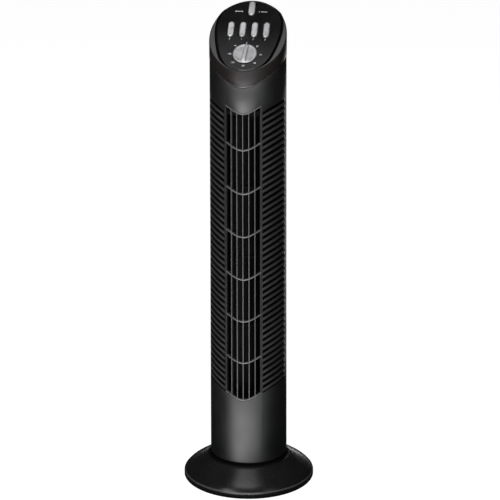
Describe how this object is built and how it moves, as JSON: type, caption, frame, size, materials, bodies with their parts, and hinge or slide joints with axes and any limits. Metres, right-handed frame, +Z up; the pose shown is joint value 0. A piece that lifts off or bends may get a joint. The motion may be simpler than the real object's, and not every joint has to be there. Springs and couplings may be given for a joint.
{
  "type": "tower fan",
  "caption": "Tower fan: a slim black louvred column with a slanted control head that swings on a round dome base, with push keys and a rotary timer.",
  "frame": {"origin": "centre of the round base at floor level", "axes": "+Z up along the column, the outlet grille and the controls face -Y, +X to the viewer's right"},
  "size_m": [0.2076, 0.2076, 0.76],
  "materials": {
    "black_abs": "satin black moulded ABS",
    "panel_black": "satin black panel",
    "silver_grey": "silver-grey painted ABS",
    "impeller_plastic": "dark glass-filled plastic",
    "nylon": "natural nylon",
    "zinc_steel": "zinc-plated steel",
    "electrical_steel": "stacked laminations",
    "rubber": "soft black rubber",
    "cable": "PVC sleeve",
    "phenolic": "moulded phenolic and film-capacitor plastic"
  },
  "bodies": {
    "base": {"base_shell": "black_abs", "base_plate": "black_abs", "rubber_foot_1": "rubber", "rubber_foot_2": "rubber", "rubber_foot_3": "rubber", "rubber_foot_4": "rubber", "base_screw_1": "zinc_steel", "base_screw_2": "zinc_steel", "base_screw_3": "zinc_steel", "base_screw_4": "zinc_steel", "thrust_washer": "nylon", "post_clip": "zinc_steel", "cord_gland": "rubber", "base_lead": "cable", "fixed_gear_sector": "nylon"},
    "column": {"front_housing": "black_abs", "front_grille": "black_abs", "rear_housing": "black_abs", "head_cap": "black_abs", "control_panel": "panel_black", "timer_body": "phenolic", "speed_switch": "phenolic", "oscillation_switch": "phenolic", "lower_bulkhead": "black_abs", "upper_bulkhead": "black_abs", "upper_bearing": "nylon", "duct_scroll": "black_abs", "duct_tongue": "black_abs", "baffle_left": "black_abs", "baffle_right": "black_abs", "motor_housing": "zinc_steel", "motor_stator": "electrical_steel", "motor_capacitor": "phenolic", "turntable": "black_abs", "turntable_bush": "nylon", "oscillation_motor": "zinc_steel", "wiring_loom": "cable", "lower_screw_left": "zinc_steel", "lower_screw_right": "zinc_steel", "upper_screw_left": "zinc_steel", "upper_screw_right": "zinc_steel", "turntable_screw_left": "zinc_steel", "turntable_screw_right": "zinc_steel", "motor_screw_1": "zinc_steel", "motor_screw_2": "zinc_steel"},
    "impeller": {"impeller_cage": "impeller_plastic", "impeller_lower_hub": "impeller_plastic", "impeller_upper_hub": "impeller_plastic", "motor_rotor": "electrical_steel"},
    "knob": {"timer_knob": "silver_grey", "timer_shaft": "zinc_steel"},
    "pinion": {"oscillation_pinion": "nylon"},
    "off_key": {"key_off": "silver_grey"},
    "low_key": {"key_low": "silver_grey"},
    "medium_key": {"key_medium": "silver_grey"},
    "high_key": {"key_high": "silver_grey"},
    "swing_key": {"key_oscillation": "silver_grey"}
  },
  "joints": [
    {"name": "oscillation", "type": "hinge", "parent": "base", "child": "column", "pos_m": [0, 0, 0.0426], "axis": [0, 0, 1], "range_deg": [-37.5, 37.5]},
    {"name": "pinion_spin", "type": "hinge", "parent": "column", "child": "pinion", "pos_m": [0, 0.0378, 0.0426], "axis": [0, 0, 1], "range_deg": [-151, 151]},
    {"name": "impeller_spin", "type": "hinge", "parent": "column", "child": "impeller", "pos_m": [0, 0.006, 0.1533], "axis": [0, 0, 1], "continuous": true},
    {"name": "timer_turn", "type": "hinge", "parent": "column", "child": "knob", "pos_m": [0, -0.03176, 0.69428], "axis": [0, -0.5878, 0.809], "range_deg": [-270, 45]},
    {"name": "off_key_press", "type": "slide", "parent": "column", "child": "off_key", "axis": [0, 0.5878, -0.809], "range_m": [0, 0.003], "stiffness_N_per_m": 300, "springref_m": -0.004},
    {"name": "low_key_press", "type": "slide", "parent": "column", "child": "low_key", "axis": [0, 0.5878, -0.809], "range_m": [0, 0.003], "stiffness_N_per_m": 300, "springref_m": -0.004},
    {"name": "medium_key_press", "type": "slide", "parent": "column", "child": "medium_key", "axis": [0, 0.5878, -0.809], "range_m": [0, 0.003], "stiffness_N_per_m": 300, "springref_m": -0.004},
    {"name": "high_key_press", "type": "slide", "parent": "column", "child": "high_key", "axis": [0, 0.5878, -0.809], "range_m": [0, 0.003], "stiffness_N_per_m": 300, "springref_m": -0.004},
    {"name": "swing_key_press", "type": "slide", "parent": "column", "child": "swing_key", "axis": [0, 0.5878, -0.809], "range_m": [0, 0.003], "stiffness_N_per_m": 300, "springref_m": -0.004}
  ],
  "couplings": [
    {"joint": "pinion_spin", "follows": "oscillation", "ratio": 4}
  ]
}
